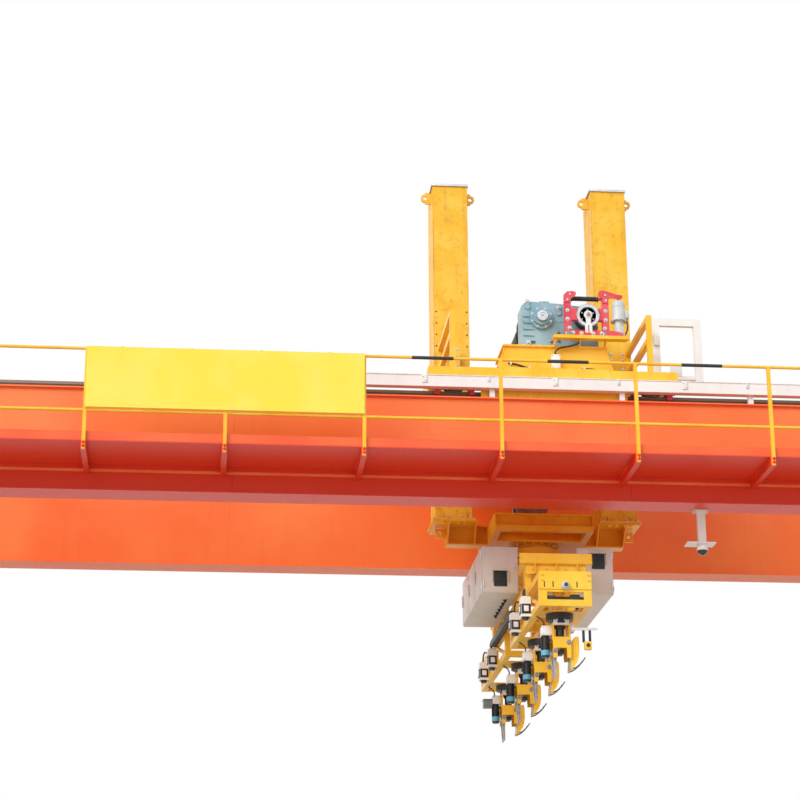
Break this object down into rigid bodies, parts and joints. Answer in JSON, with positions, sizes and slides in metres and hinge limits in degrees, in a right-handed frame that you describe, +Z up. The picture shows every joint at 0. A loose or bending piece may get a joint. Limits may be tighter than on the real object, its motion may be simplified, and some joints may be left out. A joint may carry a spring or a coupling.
{
  "type": "overhead crane",
  "caption": "Double-girder overhead crane: walkways, trolley with hoist, guided masts on a crosshead, slewing spreader with motor clamps.",
  "frame": {"origin": "middle of the left end carriage's underside", "axes": "+X along the girders towards the right runway rail, +Y away from the sign side, +Z up"},
  "size_m": [13.9, 5.443, 6.615],
  "materials": {
    "girder_paint": "semi-gloss orange-red enamel on plate steel",
    "machine_yellow": "semi-gloss yellow enamel",
    "rail_steel": "rolled and worn steel",
    "white_paint": "white enamel",
    "gearbox_paint": "blue-grey machine enamel",
    "motor_paint": "light grey machine enamel",
    "brake_red": "red enamel",
    "buffer_rubber": "moulded",
    "roller_black": "moulded polyurethane",
    "black_paint": "black machine enamel",
    "drum_iron": "machined grooves, greased",
    "rope_steel": "greased wire rope",
    "cabinet_paint": "textured light grey powder coat"
  },
  "bodies": {
    "bridge": {"front_girder": "girder_paint", "rear_girder": "girder_paint", "trolley_rails": "rail_steel", "trolley_stops": "girder_paint", "front_walkway": "girder_paint", "rear_walkway": "girder_paint", "front_railing": "machine_yellow", "rear_railing": "machine_yellow", "sign_panel": "machine_yellow", "cable_trough": "white_paint", "left_end_carriage": "girder_paint", "right_end_carriage": "girder_paint", "travel_wheels": "rail_steel", "travel_drives": "gearbox_paint", "end_buffers": "buffer_rubber", "inspection_camera": "white_paint"},
    "trolley": {"trolley_side_beams": "machine_yellow", "trolley_cross_beams": "machine_yellow", "trolley_deck": "machine_yellow", "trolley_wheels": "rail_steel", "trolley_drive": "gearbox_paint", "hoist_pedestal": "machine_yellow", "hoist_reducer": "gearbox_paint", "brake_frame": "brake_red", "brake_drum": "rail_steel", "brake_thruster": "motor_paint", "hoist_motor": "motor_paint", "rope_drum": "drum_iron", "left_guide_frame": "machine_yellow", "right_guide_frame": "machine_yellow", "guide_rollers": "roller_black", "service_frame": "white_paint", "hoist_ropes": "rope_steel"},
    "lift": {"left_mast": "machine_yellow", "right_mast": "machine_yellow", "crosshead": "machine_yellow", "hoist_sheaves": "rail_steel", "slewing_column": "machine_yellow"},
    "spreader": {"turntable": "machine_yellow", "spreader_head": "machine_yellow", "carrier_rails": "machine_yellow", "left_cabinet": "cabinet_paint", "right_cabinet": "cabinet_paint", "front_carrier": "machine_yellow", "rear_carrier": "machine_yellow", "carrier_drives": "white_paint", "clamp_rotators": "black_paint", "clamp_yokes": "machine_yellow", "clamp_motors": "black_paint", "terminal_boxes": "white_paint"},
    "tines_1": {"tines_1": "rail_steel"},
    "hook_jaw_1": {"hook_jaw_1": "machine_yellow"},
    "tines_2": {"tines_2": "rail_steel"},
    "hook_jaw_2": {"hook_jaw_2": "machine_yellow"},
    "tines_3": {"tines_3": "rail_steel"},
    "hook_jaw_3": {"hook_jaw_3": "machine_yellow"},
    "tines_4": {"tines_4": "rail_steel"},
    "hook_jaw_4": {"hook_jaw_4": "machine_yellow"}
  },
  "joints": [
    {"name": "trolley_travel", "type": "slide", "parent": "bridge", "child": "trolley", "axis": [1, 0, 0], "range_m": [-5.71, 2.69]},
    {"name": "hoist", "type": "slide", "parent": "trolley", "child": "lift", "axis": [0, 0, -1], "range_m": [0, 1.6], "deforming": ["hoist_ropes"]},
    {"name": "slew", "type": "hinge", "parent": "lift", "child": "spreader", "pos_m": [8.26, 0, -0.412], "axis": [0, 0, 1], "range_deg": [-90, 90]},
    {"name": "tines_1_swing", "type": "hinge", "parent": "spreader", "child": "tines_1", "pos_m": [8.12, -1.9875, -1.932], "axis": [0, 1, 0], "range_deg": [0, 25]},
    {"name": "hook_jaw_1_swing", "type": "hinge", "parent": "spreader", "child": "hook_jaw_1", "pos_m": [8.27, -1.9875, -1.842], "axis": [0, 1, 0], "range_deg": [-25, 0]},
    {"name": "tines_2_swing", "type": "hinge", "parent": "spreader", "child": "tines_2", "pos_m": [8.12, -0.6625, -1.932], "axis": [0, 1, 0], "range_deg": [0, 25]},
    {"name": "hook_jaw_2_swing", "type": "hinge", "parent": "spreader", "child": "hook_jaw_2", "pos_m": [8.27, -0.6625, -1.842], "axis": [0, 1, 0], "range_deg": [-25, 0]},
    {"name": "tines_3_swing", "type": "hinge", "parent": "spreader", "child": "tines_3", "pos_m": [8.12, 0.6625, -1.932], "axis": [0, 1, 0], "range_deg": [0, 25]},
    {"name": "hook_jaw_3_swing", "type": "hinge", "parent": "spreader", "child": "hook_jaw_3", "pos_m": [8.27, 0.6625, -1.842], "axis": [0, 1, 0], "range_deg": [-25, 0]},
    {"name": "tines_4_swing", "type": "hinge", "parent": "spreader", "child": "tines_4", "pos_m": [8.12, 1.9875, -1.932], "axis": [0, 1, 0], "range_deg": [0, 25]},
    {"name": "hook_jaw_4_swing", "type": "hinge", "parent": "spreader", "child": "hook_jaw_4", "pos_m": [8.27, 1.9875, -1.842], "axis": [0, 1, 0], "range_deg": [-25, 0]}
  ],
  "couplings": [
    {"joint": "hook_jaw_1_swing", "follows": "tines_1_swing", "ratio": -1},
    {"joint": "hook_jaw_2_swing", "follows": "tines_2_swing", "ratio": -1},
    {"joint": "hook_jaw_3_swing", "follows": "tines_3_swing", "ratio": -1},
    {"joint": "hook_jaw_4_swing", "follows": "tines_4_swing", "ratio": -1}
  ]
}
